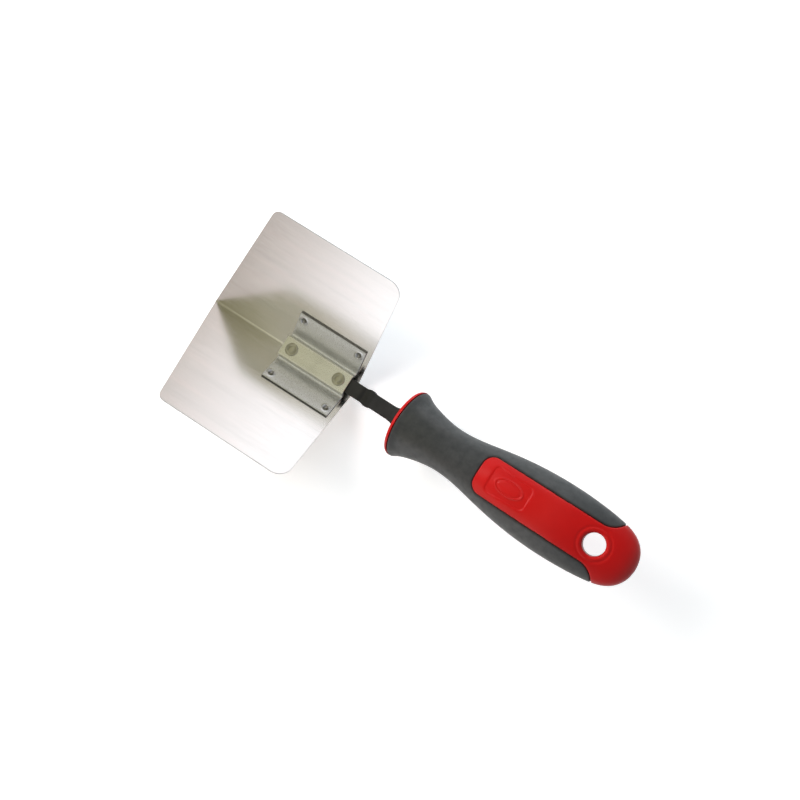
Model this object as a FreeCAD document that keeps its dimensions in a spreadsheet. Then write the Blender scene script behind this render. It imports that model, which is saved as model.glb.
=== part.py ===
"""Inside corner trowel: bent stainless blade, hat-section bracket, riveted tang, two-shot grip.

Frame: +X runs along the blade's crease towards the handle, +Z is up out of the vee,
Y is across the tool, whose plane of symmetry is y = 0.  Millimetres.
"""
import FreeCAD, Part
import math
import os
import Sketcher

V = FreeCAD.Vector
doc = FreeCAD.newDocument("inside_corner_trowel")

# ---------------------------------------------------------------- driving dimensions
DIMENSIONS = {
    "blade_front_x": -123.55,        # x of the crease's front end, which centres the tool on the origin
    "crease_length": 89.0,
    "wing_width": 68.8,              # along the sheet, crease to outer edge
    "included_angle": 103.0,
    "front_sweep": 15.5,             # how far the front edge falls back at the outer corner
    "blade_thickness": 0.6,
    "crease_radius": 0.9,            # inside of the bend
    "front_corner_radius": 4.5,
    "rear_corner_radius": 7.5,
    "bracket_start": 46.4,           # from the crease's front end
    "bracket_length": 39.8,
    "bracket_half_width": 18.7,
    "bracket_thickness": 1.1,
    "hat_top_height": 12.9,
    "hat_half_width": 5.7,
    "hat_wall_lean": 5.0,
    "rivet_front_inset": 5.4,
    "rivet_rear_inset": 5.7,
    "rivet_shank_radius": 2.0,
    "rivet_head_radius": 3.4,
    "rivet_head_height": 0.7,
    "rivet_tail_radius": 2.9,
    "rivet_tail_height": 1.3,
    "weld_radius": 1.7,
    "weld_depth": 0.5,
    "weld_inset": 3.2,
    "weld_half_spacing": 15.8,
    "tang_width": 8.0,
    "tang_thickness": 3.0,
    "tang_front_gap": 1.0,           # tang tip back from the bracket's front edge
    "tang_bend_at": 98.2,            # from the crease's front end
    "tang_rise": 21.0,               # slope of the raised length
    "tang_raised_length": 78.0,
    "tang_bulge": 0.6,               # each side, where the bend squeezes the bar out
    "tang_shoulder": 0.9,            # each side, where the bar meets the grip
    "grip_start": 25.5,              # tang bend to the flange's front face, along the tang
    "grip_length": 129.3,
    "grip_arc_radius": 560.0,
    "skin_thickness": 2.8,
    "rim_thickness": 2.2,
    "window_start": 47.4,            # along the grip, from the flange's front face
    "window_end": 116.6,
    "window_half_width": 10.0,
    "window_corner_radius": 5.4,
    "lobe_radius": 9.4,
    "parting_gap": 0.4,
    "hang_hole_at": 108.4,
    "hang_hole_radius": 5.3,
    "hang_hole_edge": 1.2,
}
# Grip sections: distance from the flange's front face, half width, half depth.
STATIONS = [
    (0.0, 17.3, 14.0),
    (1.1, 18.0, 14.7),
    (4.5, 16.8, 13.9),
    (10.5, 14.5, 12.6),
    (17.5, 12.8, 11.6),
    (26.5, 11.7, 11.0),
    (37.5, 12.3, 11.6),
    (51.5, 14.7, 12.9),
    (67.5, 17.0, 14.0),
    (86.5, 18.0, 13.6),
    (102.5, 17.3, 11.3),
    (113.5, 15.9, 9.4),
    (119.4, 14.4, 8.3),
    (123.8, 12.0, 6.9),
    (126.9, 8.6, 4.9),
    (128.7, 4.6, 2.6),
    (129.3, 1.0, 0.6),
]

sheet = doc.addObject("Spreadsheet::Sheet", "Sheet")
row = 0
for name, value in DIMENSIONS.items():
    row += 1
    sheet.set("A%d" % row, name)
    sheet.set("B%d" % row, str(value))
    sheet.setAlias("B%d" % row, name)
for index, station in enumerate(STATIONS):
    for word, value in zip(("at", "wide", "deep"), station):
        row += 1
        name = "section_%s_%02d" % (word, index)
        sheet.set("A%d" % row, name)
        sheet.set("B%d" % row, str(value))
        sheet.setAlias("B%d" % row, name)
doc.recompute()


def size(name):
    """The number the sheet holds under an alias."""
    return float(sheet.get(name))


def value_of(expression):
    """The number an expression in the sheet's aliases comes to."""
    result = sheet.evalExpression(expression)
    return float(getattr(result, "Value", result))


# Expressions used by more than one part.  The wing angle is measured from the horizontal.
WING = "(90 - Sheet.included_angle / 2)"
APEX = "(-(Sheet.crease_radius + Sheet.blade_thickness) * (1 / cos(%s) - 1))" % WING
WING_TOP = "(%s + Sheet.blade_thickness / cos(%s))" % (APEX, WING)
BRACKET_X = "(Sheet.blade_front_x + Sheet.bracket_start)"
TANG_TOP = "(Sheet.hat_top_height - Sheet.bracket_thickness)"
TANG_X = "(Sheet.blade_front_x + Sheet.tang_bend_at)"


# ---------------------------------------------------------------- small builders
def new_body(label):
    body = doc.addObject("PartDesign::Body", label)
    body.Label = label
    return body


def origin_plane(body, role):
    return next(f for f in body.Origin.OriginFeatures if f.Role == role)


def sketch_on(body, role, name, offset="0"):
    """A sketch on one of the body's own origin planes, moved along the plane's normal."""
    sketch = body.newObject("Sketcher::SketchObject", name)
    sketch.AttachmentSupport = [(origin_plane(body, role), "")]
    sketch.MapMode = "FlatFace"
    sketch.setExpression("AttachmentOffset.Base.z", offset)
    return sketch


def bind(sketch, index, expression):
    sketch.setExpression("Constraints[%d]" % index, expression)


def draw_outline(sketch, points):
    """A closed outline of straight lines whose corners sit at pairs of expressions."""
    corners = [V(value_of(x), value_of(y), 0) for x, y in points]
    first = sketch.GeometryCount
    for start, end in zip(corners, corners[1:] + corners[:1]):
        sketch.addGeometry(Part.LineSegment(start, end), False)
    count = len(corners)
    for i in range(count):
        following = first + (i + 1) % count
        sketch.addConstraint(Sketcher.Constraint("Coincident", first + i, 2, following, 1))
    for i, (x, y) in enumerate(points):
        across = Sketcher.Constraint("DistanceX", -1, 1, first + i, 1, corners[i].x)
        bind(sketch, sketch.addConstraint(across), x)
        upward = Sketcher.Constraint("DistanceY", -1, 1, first + i, 1, corners[i].y)
        bind(sketch, sketch.addConstraint(upward), y)


def draw_circle(sketch, x, y, radius):
    centre = V(value_of(x), value_of(y), 0)
    index = sketch.addGeometry(Part.Circle(centre, V(0, 0, 1), value_of(radius)), False)
    across = Sketcher.Constraint("DistanceX", -1, 1, index, 3, centre.x)
    bind(sketch, sketch.addConstraint(across), x)
    upward = Sketcher.Constraint("DistanceY", -1, 1, index, 3, centre.y)
    bind(sketch, sketch.addConstraint(upward), y)
    girth = Sketcher.Constraint("Radius", index, value_of(radius))
    bind(sketch, sketch.addConstraint(girth), radius)


def pad(body, sketch, name, length, symmetric=False):
    feature = body.newObject("PartDesign::Pad", name)
    feature.Profile = sketch
    feature.setExpression("Length", length)
    if symmetric:
        feature.SideType = "Symmetric"
    doc.recompute()
    return feature


def pocket_through(body, sketch, name):
    """A pocket both ways through everything; it has to take material away."""
    before = body.Shape.Volume
    feature = body.newObject("PartDesign::Pocket", name)
    feature.Profile = sketch
    feature.Type = "ThroughAll"
    feature.SideType = "Symmetric"
    doc.recompute()
    if body.Shape.Volume >= before - 1e-6:
        raise RuntimeError("%s cuts nothing" % name)
    return feature


def round_edges(body, name, radius, chosen):
    """Fillet the edges of the body's tip for which chosen(edge) is true."""
    tip = body.Tip
    names = ["Edge%d" % (i + 1) for i, edge in enumerate(tip.Shape.Edges) if chosen(edge)]
    if not names:
        raise RuntimeError("%s finds no edge" % name)
    feature = body.newObject("PartDesign::Fillet", name)
    feature.Base = (tip, names)
    feature.setExpression("Radius", radius)
    doc.recompute()
    return feature


def along_x(edge):
    """True for a straight edge parallel to the crease."""
    if not isinstance(edge.Curve, Part.Line):
        return False
    return abs(edge.Curve.Direction.x) > 0.999


# ---------------------------------------------------------------- blade
def make_blade():
    body = new_body("blade")
    tip_y = "Sheet.wing_width * cos(%s)" % WING
    tip_z = "(%s + Sheet.wing_width * sin(%s))" % (APEX, WING)
    inner_y = "(%s - Sheet.blade_thickness * sin(%s))" % (tip_y, WING)
    inner_z = "(%s + Sheet.blade_thickness * cos(%s))" % (tip_z, WING)
    vee = sketch_on(body, "YZ_Plane", "vee", "Sheet.blade_front_x")
    draw_outline(vee, [
        ("0", APEX), (tip_y, tip_z), (inner_y, inner_z),
        ("0", WING_TOP), ("-(%s)" % inner_y, inner_z), ("-(%s)" % tip_y, tip_z),
    ])
    pad(body, vee, "bent_sheet", "Sheet.crease_length")

    # Each front edge falls back from the crease, cut square to its own wing.
    back = "(Sheet.blade_front_x + Sheet.front_sweep * 1.1)"
    clear = "(Sheet.blade_front_x - 5)"
    for sign, word in (("", "left"), ("-", "right")):
        out = "%s(Sheet.wing_width * 1.1)" % sign
        edge = sketch_on(body, "XY_Plane", "front_edge_" + word, APEX)
        edge.AttachmentOffset = FreeCAD.Placement(V(), FreeCAD.Rotation(V(1, 0, 0), 1))
        edge.setExpression("AttachmentOffset.Rotation.Angle", sign + WING)
        draw_outline(edge, [("Sheet.blade_front_x", "0"), (back, out), (clear, out), (clear, "0")])
        pocket_through(body, edge, "front_cut_" + word)

    thickness = size("blade_thickness")
    rim = value_of(tip_y) - thickness
    middle = size("blade_front_x") + size("crease_length") / 2

    def corner(front):
        def chosen(edge):
            box = edge.BoundBox
            outermost = abs(box.Center.y) > rim and edge.Length < 2 * thickness
            return outermost and (box.Center.x < middle) == front
        return chosen

    round_edges(body, "front_corners", "Sheet.front_corner_radius", corner(True))
    round_edges(body, "rear_corners", "Sheet.rear_corner_radius", corner(False))

    def on_crease(above):
        def chosen(edge):
            box = edge.BoundBox
            central = along_x(edge) and abs(box.Center.y) < 1e-3
            return central and (box.Center.z > value_of(APEX) + 0.1) == above
        return chosen

    round_edges(body, "crease_inside", "Sheet.crease_radius", on_crease(True))
    outside = "Sheet.crease_radius + Sheet.blade_thickness"
    round_edges(body, "crease_outside", outside, on_crease(False))
    return body


# ---------------------------------------------------------------- bracket
def rivet_holes(body, name, radius):
    holes = sketch_on(body, "XY_Plane", name, "Sheet.hat_top_height")
    draw_circle(holes, "%s + Sheet.rivet_front_inset" % BRACKET_X, "0", radius)
    rear = "%s + Sheet.bracket_length - Sheet.rivet_rear_inset" % BRACKET_X
    draw_circle(holes, rear, "0", radius)
    pocket_through(body, holes, name + "_cut")


def make_bracket():
    body = new_body("bracket")
    thick = "Sheet.bracket_thickness"
    lean = "Sheet.hat_wall_lean"
    under = "(%s)" % WING_TOP
    over = "(%s + %s / cos(%s))" % (WING_TOP, thick, WING)
    top = "Sheet.hat_top_height"
    turn = "(1 + tan(%s) * tan(%s))" % (WING, lean)
    outer_root = "((Sheet.hat_half_width + (%s - %s) * tan(%s)) / %s)" % (top, over, lean, turn)
    wall = "(Sheet.hat_half_width - %s / cos(%s))" % (thick, lean)
    inner_root = "((%s + (%s - %s) * tan(%s)) / %s)" % (wall, top, under, lean, turn)
    inner_top = "(%s + %s * tan(%s))" % (wall, thick, lean)
    edge_y = "Sheet.bracket_half_width"
    half = [
        ("Sheet.hat_half_width", top),
        (outer_root, "%s + %s * tan(%s)" % (over, outer_root, WING)),
        (edge_y, "%s + %s * tan(%s)" % (over, edge_y, WING)),
        ("%s + %s * sin(%s)" % (edge_y, thick, WING),
         "%s + %s * tan(%s) - %s * cos(%s)" % (over, edge_y, WING, thick, WING)),
        (inner_root, "%s + %s * tan(%s)" % (under, inner_root, WING)),
        (inner_top, "%s - %s" % (top, thick)),
    ]
    hat = sketch_on(body, "YZ_Plane", "hat_section", BRACKET_X)
    draw_outline(hat, half + [("-(%s)" % y, z) for y, z in reversed(half)])
    pad(body, hat, "pressing", "Sheet.bracket_length")

    def bend(y, z):
        at_y, at_z = value_of(y), value_of(z)

        def chosen(edge):
            box = edge.BoundBox
            near = abs(abs(box.Center.y) - at_y) < 0.05 and abs(box.Center.z - at_z) < 0.05
            return along_x(edge) and near
        return chosen

    round_edges(body, "top_bend_outside", "1.4", bend(*half[0]))
    round_edges(body, "top_bend_inside", "0.4", bend(*half[5]))
    round_edges(body, "valley_inside", "1.0", bend(*half[1]))
    round_edges(body, "valley_outside", "2.0", bend(*half[4]))
    rivet_holes(body, "bracket_rivet_holes", "Sheet.rivet_shank_radius")

    # Spot-weld dimples: a ball that dips into the wing by weld_depth.
    ball = "((Sheet.weld_radius^2 + Sheet.weld_depth^2) / (2 * Sheet.weld_depth))"
    lift = "(%s - Sheet.weld_depth)" % ball
    surface = "(%s + Sheet.weld_half_spacing * tan(%s))" % (over, WING)
    ends = (
        "(%s + Sheet.weld_inset)" % BRACKET_X,
        "(%s + Sheet.bracket_length - Sheet.weld_inset)" % BRACKET_X,
    )
    for end, x in enumerate(ends):
        for side in (1, -1):
            before = body.Shape.Volume
            dimple = body.newObject("PartDesign::SubtractiveSphere", "weld_%d_%d" % (end, side + 1))
            dimple.setExpression("Radius", ball)
            dimple.setExpression("AttachmentOffset.Base.x", x)
            sideways = "(Sheet.weld_half_spacing - %s * sin(%s))" % (lift, WING)
            dimple.setExpression("AttachmentOffset.Base.y", "%d * %s" % (side, sideways))
            upward = "%s + %s * cos(%s)" % (surface, lift, WING)
            dimple.setExpression("AttachmentOffset.Base.z", upward)
            dimple.AttachmentSupport = [(origin_plane(body, "XY_Plane"), "")]
            dimple.MapMode = "FlatFace"
            doc.recompute()
            if body.Shape.Volume >= before:
                raise RuntimeError("a weld dimple cuts nothing")
    return body


# ---------------------------------------------------------------- tang
def make_tang():
    body = new_body("tang")
    rise = "Sheet.tang_rise"
    thick = "Sheet.tang_thickness"
    front = "(%s + Sheet.tang_front_gap)" % BRACKET_X
    end_x = "(%s + Sheet.tang_raised_length * cos(%s))" % (TANG_X, rise)
    end_z = "(%s + Sheet.tang_raised_length * sin(%s))" % (TANG_TOP, rise)
    side = sketch_on(body, "XZ_Plane", "side_profile")
    draw_outline(side, [
        (front, TANG_TOP),
        (TANG_X, TANG_TOP),
        (end_x, end_z),
        ("%s + %s * sin(%s)" % (end_x, thick, rise), "%s - %s * cos(%s)" % (end_z, thick, rise)),
        ("%s + %s * tan(%s / 2)" % (TANG_X, thick, rise), "%s - %s" % (TANG_TOP, thick)),
        (front, "%s - %s" % (TANG_TOP, thick)),
    ])
    pad(body, side, "bar", "Sheet.tang_width + 2 * Sheet.tang_shoulder", symmetric=True)

    def at_bend(upper):
        at_z = value_of(TANG_TOP) - (0 if upper else size("tang_thickness"))
        at_x = value_of(TANG_X)

        def chosen(edge):
            box = edge.BoundBox
            crosswise = isinstance(edge.Curve, Part.Line) and abs(edge.Curve.Direction.y) > 0.999
            return crosswise and abs(box.Center.z - at_z) < 0.01 and abs(box.Center.x - at_x) < 3
        return chosen

    round_edges(body, "bend_inside", "2.0", at_bend(True))
    round_edges(body, "bend_outside", "5.0", at_bend(False))

    # The flanks: straight, a bulge at the bend, and shoulders where the grip begins.
    half = "(Sheet.tang_width / 2)"
    bulge = "(%s + Sheet.tang_bulge)" % half
    shoulder = "(%s + Sheet.tang_shoulder)" % half
    grip_x = "(%s + Sheet.grip_start * cos(%s))" % (TANG_X, rise)
    flank = [
        (front, half), ("%s - 3.2" % TANG_X, half), ("%s - 1.0" % TANG_X, bulge),
        ("%s + 2.0" % TANG_X, bulge), ("%s + 4.2" % TANG_X, half),
        ("%s - 9" % grip_x, half), ("%s - 4" % grip_x, shoulder),
        ("%s + 6" % grip_x, shoulder), ("%s + 12" % grip_x, half), (end_x + " + 5", half),
        (end_x + " + 5", "20"), (front, "20"),
    ]
    for sign, word in (("", "left"), ("-", "right")):
        trim = sketch_on(body, "XY_Plane", "flank_" + word)
        draw_outline(trim, [(x, "%s(%s)" % (sign, y)) for x, y in flank])
        pocket_through(body, trim, "trim_" + word)
    rivet_holes(body, "tang_rivet_holes", "Sheet.rivet_shank_radius")
    return body


# ---------------------------------------------------------------- rivets
def make_rivet(label, x):
    """A flat-headed rivet: head on the hat's top, tail set under the tang."""
    body = new_body(label)
    shank = "Sheet.rivet_shank_radius"
    head = "Sheet.rivet_head_radius"
    tail = "Sheet.rivet_tail_radius"
    grip = "(Sheet.bracket_thickness + Sheet.tang_thickness)"
    low = "(-%s - Sheet.rivet_tail_height)" % grip
    half = sketch_on(body, "XZ_Plane", label + "_half")
    draw_outline(half, [
        ("0", low), ("%s - 0.4" % tail, low), (tail, "%s + 0.4" % low), (tail, "-" + grip),
        (shank, "-" + grip), (shank, "0"), (head, "0"), (head, "Sheet.rivet_head_height - 0.3"),
        ("%s - 0.5" % head, "Sheet.rivet_head_height"), ("0", "Sheet.rivet_head_height"),
    ])
    turned = body.newObject("PartDesign::Revolution", label + "_turned")
    turned.Profile = half
    turned.ReferenceAxis = (half, ["V_Axis"])
    turned.Angle = 360
    body.setExpression("Placement.Base.x", x)
    body.setExpression("Placement.Base.z", "Sheet.hat_top_height")
    doc.recompute()
    return body


# ---------------------------------------------------------------- grip
def grip_point(distance):
    """Point and slope in degrees of the grip's curved centre line, from the flange's face."""
    slope = math.radians(size("tang_rise"))
    radius = size("grip_arc_radius")
    start_x = value_of(TANG_X) + size("grip_start") * math.cos(slope)
    centre_z = value_of(TANG_TOP) - size("tang_thickness") / 2
    start_z = centre_z + size("grip_start") * math.sin(slope)
    here = slope - distance / radius
    x = start_x + radius * (math.sin(slope) - math.sin(here))
    z = start_z + radius * (math.cos(here) - math.cos(slope))
    return V(x, 0, z), math.degrees(here)


def across_grip(distance):
    """Placement whose XY plane cuts the grip squarely and whose X axis runs along +Y."""
    point, slope = grip_point(distance)
    along = V(math.cos(math.radians(slope)), 0, math.sin(math.radians(slope)))
    up = V(-along.z, 0, along.x)
    return FreeCAD.Placement(point, FreeCAD.Rotation(V(0, 1, 0), up, along, "ZXY"))


def along_grip(distance):
    """Placement whose X axis follows the grip, Y runs across and Z stands up from it."""
    point, slope = grip_point(distance)
    return FreeCAD.Placement(point, FreeCAD.Rotation(V(0, 1, 0), -slope))


def grip_loft(name, first, last, inset):
    """A smooth solid through the sections first..last, each drawn in by inset."""
    rings = []
    for i in range(first, last + 1):
        ring = doc.addObject("Part::Ellipse", "%s_ring_%02d" % (name, i))
        ring.setExpression("MajorRadius", "Sheet.section_wide_%02d - %s" % (i, inset))
        ring.setExpression("MinorRadius", "Sheet.section_deep_%02d - %s" % (i, inset))
        ring.Placement = across_grip(size("section_at_%02d" % i))
        rings.append(ring)
    loft = doc.addObject("Part::Loft", name)
    loft.Sections = rings
    loft.Solid = True
    loft.Ruled = False
    doc.recompute()
    return loft


def window_prism(name, grow):
    """The cutter for both panel windows and the tail; grow widens it by the parting gap."""
    mid = 80.0
    point, slope = grip_point(mid)
    sketch = doc.addObject("Sketcher::SketchObject", name + "_outline")
    sketch.Placement = along_grip(mid)
    front = "(Sheet.window_start - %g - %s)" % (mid, grow)
    side = "(Sheet.window_half_width + %s)" % grow
    back = "(Sheet.window_end - %g - %s)" % (mid, grow)
    edge = "30"
    far = "(Sheet.grip_length - %g + 20)" % mid
    draw_outline(sketch, [
        (front, side), (back, side), (back, edge), (far, edge),
        (far, "-" + edge), (back, "-" + edge), (back, "-" + side), (front, "-" + side),
    ])
    doc.recompute()
    prism = doc.addObject("Part::Extrusion", name + "_block")
    prism.Base = sketch
    prism.DirMode = "Normal"
    prism.LengthFwd = 60
    prism.Symmetric = True
    prism.Solid = True
    doc.recompute()
    rounded = doc.addObject("Part::Fillet", name)
    rounded.Base = prism
    frame = sketch.Placement
    upward = frame.Rotation.multVec(V(0, 0, 1))
    picked = []
    for i, edge_shape in enumerate(prism.Shape.Edges):
        local = frame.inverse().multVec(edge_shape.BoundBox.Center)
        upright = abs(edge_shape.Curve.Direction.dot(upward)) > 0.999
        if not upright or abs(abs(local.y) - value_of(side)) > 0.01:
            continue
        radius = "window_corner_radius" if local.x < 0 else "lobe_radius"
        picked.append((i + 1, size(radius), size(radius)))
    rounded.Edges = picked
    doc.recompute()
    return rounded


def joined(kind, name, shapes):
    result = doc.addObject("Part::" + kind, name)
    result.Shapes = shapes
    doc.recompute()
    return result


def cut(name, base, tool):
    result = doc.addObject("Part::Cut", name)
    result.Base = base
    result.Tool = tool
    doc.recompute()
    return result


def make_grip(tang):
    last = len(STATIONS) - 1
    hull = grip_loft("grip_hull", 0, last, "0")
    inner_last = 11
    core_bar = grip_loft("core_bar", 1, inner_last, "Sheet.skin_thickness")

    rim_disc = doc.addObject("Part::Cylinder", "rim_disc")
    rim_disc.Radius = 40
    rim_disc.setExpression("Height", "Sheet.rim_thickness + 10")
    rim_disc.Placement = across_grip(0).multiply(FreeCAD.Placement(V(0, 0, -10), FreeCAD.Rotation()))

    panels = joined("MultiCommon", "panels", [hull, window_prism("panel_block", "0")])
    rim = joined("MultiCommon", "rim", [hull, rim_disc])
    core_solid = joined("MultiFuse", "core_solid", [core_bar, rim, panels])

    bore = doc.addObject("Part::Cylinder", "hang_bore")
    bore.setExpression("Radius", "Sheet.hang_hole_radius")
    bore.Height = 60
    hole = along_grip(size("hang_hole_at"))
    bore.Placement = hole.multiply(FreeCAD.Placement(V(0, 0, -30), FreeCAD.Rotation()))
    cutters = [bore]
    depth = value_of("Sheet.section_deep_10 + Sheet.section_deep_11") / 2
    for name, side in (("upper_edge", 1), ("lower_edge", -1)):
        cone = doc.addObject("Part::Cone", "hang_" + name)
        cone.setExpression("Radius1", "Sheet.hang_hole_radius")
        cone.setExpression("Radius2", "Sheet.hang_hole_radius + 5")
        cone.Height = 5
        turn = FreeCAD.Rotation() if side > 0 else FreeCAD.Rotation(V(1, 0, 0), 180)
        start = V(0, 0, side * (depth - size("hang_hole_edge")))
        cone.Placement = hole.multiply(FreeCAD.Placement(start, turn))
        cutters.append(cone)
    doc.recompute()
    hole_cutter = joined("MultiFuse", "hang_hole_cutter", cutters)

    holed = cut("core_with_hole", core_solid, hole_cutter)
    core = cut("handle_core", holed, tang)

    taken = joined("MultiFuse", "taken", [core_bar, rim_disc, window_prism("skin_block", "Sheet.parting_gap")])
    skin = cut("grip_overmold", hull, taken)
    return core, skin


blade = make_blade()
bracket = make_bracket()
tang = make_tang()
rivet_front = make_rivet("rivet_front", "%s + Sheet.rivet_front_inset" % BRACKET_X)
rivet_rear = make_rivet("rivet_rear", "%s + Sheet.bracket_length - Sheet.rivet_rear_inset" % BRACKET_X)
handle_core, grip_overmold = make_grip(tang)
doc.recompute()

# ---------------------------------------------------------------- write the parts
NODES = [blade, bracket, tang, rivet_front, rivet_rear, handle_core, grip_overmold]
for item in doc.Objects:
    if "Invalid" in item.State or "Error" in item.State:
        raise RuntimeError("%s is %s" % (item.Name, item.State))
os.makedirs("parts", exist_ok=True)
for node in NODES:
    if node.Shape.isNull() or not node.Shape.isValid():
        raise RuntimeError("%s has a bad shape" % node.Label)
    node.Shape.exportStep("parts/%s.step" % node.Label)
    box = node.Shape.BoundBox
    print("%-14s solids %d  volume %9.1f  x %7.2f %7.2f  y %6.2f %6.2f  z %6.2f %6.2f" % (
        node.Label, len(node.Shape.Solids), node.Shape.Volume,
        box.XMin, box.XMax, box.YMin, box.YMax, box.ZMin, box.ZMax))
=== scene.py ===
import math

import bpy
import numpy as np
from mathutils import Matrix, Vector


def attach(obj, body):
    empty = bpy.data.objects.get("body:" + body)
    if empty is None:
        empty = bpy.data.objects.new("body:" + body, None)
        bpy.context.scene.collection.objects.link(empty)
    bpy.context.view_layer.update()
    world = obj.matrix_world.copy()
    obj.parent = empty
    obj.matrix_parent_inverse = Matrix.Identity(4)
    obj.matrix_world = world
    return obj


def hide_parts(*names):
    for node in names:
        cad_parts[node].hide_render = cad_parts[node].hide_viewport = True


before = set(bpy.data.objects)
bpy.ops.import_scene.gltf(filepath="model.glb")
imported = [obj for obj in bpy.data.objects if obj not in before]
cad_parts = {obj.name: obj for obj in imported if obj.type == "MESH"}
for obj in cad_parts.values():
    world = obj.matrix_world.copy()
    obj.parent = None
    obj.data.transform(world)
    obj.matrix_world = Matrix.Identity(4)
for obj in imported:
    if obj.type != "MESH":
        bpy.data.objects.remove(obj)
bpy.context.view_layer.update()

MM = 0.001
PI = math.pi


# ------------------------------------------------------------------ sizes, in mm, as the CAD has them
# FRONT_TIP and RIM alone differ from it: the toe stops a hair short, and the red rim is a little thinner.
BLADE_X = -123.55
FRONT_TIP = 0.065
CREASE = 89.0
WING_WIDTH = 68.8
WING = math.radians(90 - 103.0 / 2)
SHEET = 0.6
BEND_IN = 0.9
FRONT_SWEEP = 15.5
FRONT_RADIUS = 4.5
REAR_RADIUS = 7.5
APEX = -(BEND_IN + SHEET) * (1 / math.cos(WING) - 1)
BRACKET_X0 = BLADE_X + 46.4
BRACKET_LEN = 39.8
BRACKET_HALF = 18.7
BRACKET_T = 1.1
HAT_TOP = 12.9
HAT_HALF = 5.7
HAT_LEAN = math.radians(5.0)
RIVET_X = (BRACKET_X0 + 5.4, BRACKET_X0 + BRACKET_LEN - 5.7)
WELD_X = (BRACKET_X0 + 3.2, BRACKET_X0 + BRACKET_LEN - 3.2)
WELD_Y = 15.8
TANG_T = 3.0
TANG_TOP = HAT_TOP - BRACKET_T
TANG_X = BLADE_X + 98.2
RISE = math.radians(21.0)
GRIP_START = 25.5
ARC = 560.0
WINDOW_START, WINDOW_END, WINDOW_HALF = 47.4, 116.6, 10.0
WINDOW_CORNER, LOBE = 5.4, 9.4
RIM = 1.9
SKIN = 2.8
HOLE_AT, HOLE_R = 108.4, 5.3
STATIONS = np.array([
    (0.0, 17.3, 14.0), (1.1, 18.0, 14.7), (4.5, 16.8, 13.9), (10.5, 14.5, 12.6),
    (17.5, 12.8, 11.6), (26.5, 11.7, 11.0), (37.5, 12.3, 11.6), (51.5, 14.7, 12.9),
    (67.5, 17.0, 14.0), (86.5, 18.0, 13.6), (102.5, 17.3, 11.3), (113.5, 15.9, 9.4),
    (119.4, 14.4, 8.3), (123.8, 12.0, 6.9), (126.9, 8.6, 4.9), (128.7, 4.6, 2.6),
    (129.3, 1.0, 0.6),
])

# Size of the grip's mesh, and the point that its window is cut square to.
GRIP_ROWS, GRIP_COLS = 470, 330
MID_AT = 80.0
# The plain raised frame and oval on the top panel: centre, half sizes, corner, line width, height, skew.
BADGE_AT, BADGE_HALF, BADGE_CORNER = (64.5, 0.3), (10.8, 6.6), 2.6
OVAL_HALF, LINE_WIDTH, BADGE_RISE, BADGE_SKEW = (7.2, 3.6), 0.42, 0.34, 0.05
# Round the hanging hole: a shallow ring groove, then a soft lip.
RING_R, RING_DEPTH, RING_WIDTH = 7.9, 0.20, 0.6
LIP_R, LIP_HEIGHT = 6.9, 1.5
# The groove in the red rim.
RIM_GROOVE_AT, RIM_GROOVE_DEPTH, RIM_GROOVE_WIDTH = 0.95, 0.30, 0.28

# ------------------------------------------------------------------ light
SKY_STRENGTH = 0.22
BACKDROP_STRENGTH = 0.94
FLOOR_GLOW = 0.35
FLOOR_HALF, FLOOR_Z = 4.0, -0.0004
# What mirrors see, by the direction along X from LEFT over REACH: low down WALLS, high up CEILING.
LEFT, REACH = -1.0, 2.0
WALLS = [
    (-1.0, (0.62, 0.61, 0.60)), (-0.62, (0.44, 0.42, 0.40)), (-0.50, (0.27, 0.24, 0.21)),
    (-0.35, (0.50, 0.44, 0.385)), (-0.315, (0.66, 0.58, 0.52)), (-0.285, (0.88, 0.795, 0.74)),
    (-0.26, (1.12, 1.04, 1.01)), (-0.235, (1.42, 1.38, 1.38)), (-0.20, (1.74, 1.74, 1.76)),
    (-0.12, (1.70, 1.71, 1.76)), (-0.03, (0.84, 0.88, 0.93)), (0.10, (0.46, 0.47, 0.48)),
    (0.40, (0.42, 0.43, 0.44)), (1.0, (0.70, 0.71, 0.72)),
]
CEILING = [
    (-1.0, (0.50, 0.50, 0.49)), (-0.75, (0.30, 0.30, 0.28)), (-0.57, (0.03, 0.03, 0.02)),
    (-0.46, (0.12, 0.11, 0.07)), (-0.37, (0.26, 0.24, 0.13)), (-0.30, (0.33, 0.31, 0.165)),
    (-0.265, (0.42, 0.40, 0.215)), (-0.24, (0.66, 0.64, 0.40)), (-0.20, (1.06, 1.04, 0.84)),
    (-0.16, (1.28, 1.27, 1.18)), (-0.11, (0.70, 0.70, 0.64)), (-0.04, (0.24, 0.24, 0.22)),
    (0.10, (0.09, 0.09, 0.09)), (0.45, (0.34, 0.34, 0.34)), (1.0, (0.55, 0.55, 0.55)),
]
BRIGHTEST = 2.0
CEILING_FROM, CEILING_TO = 0.42, 0.78
WALL_LEAN, CEILING_LEAN = 0.022, -0.03
# Name, place, width, height, power in watts, colour.
SOFTBOXES = [
    ("toe_key", (-0.80, 0.05, 0.62), 0.6, 0.6, 8.2, (1.0, 0.98, 0.95)),
    ("left_window", (-0.28, 0.72, 0.42), 0.9, 0.5, 6.0, (0.78, 0.91, 1.0)),
    ("right_fill", (-0.28, -0.76, 0.40), 0.9, 0.45, 3.5, (1.0, 0.93, 0.84)),
]
SOFTBOX_AIM = (0.02, 0, 0.03)

# ------------------------------------------------------------------ camera
CAMERA_TILT = math.radians(5.81)
CAMERA_TURN = math.atan2(0.5365, 0.8439)
CAMERA_AIM = (-0.01200, 0.00794, 0.0006)
CAMERA_DISTANCE = 0.46478
SENSOR_MM, FOCAL_SHARE = 36.0, 895.82 / 800


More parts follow.
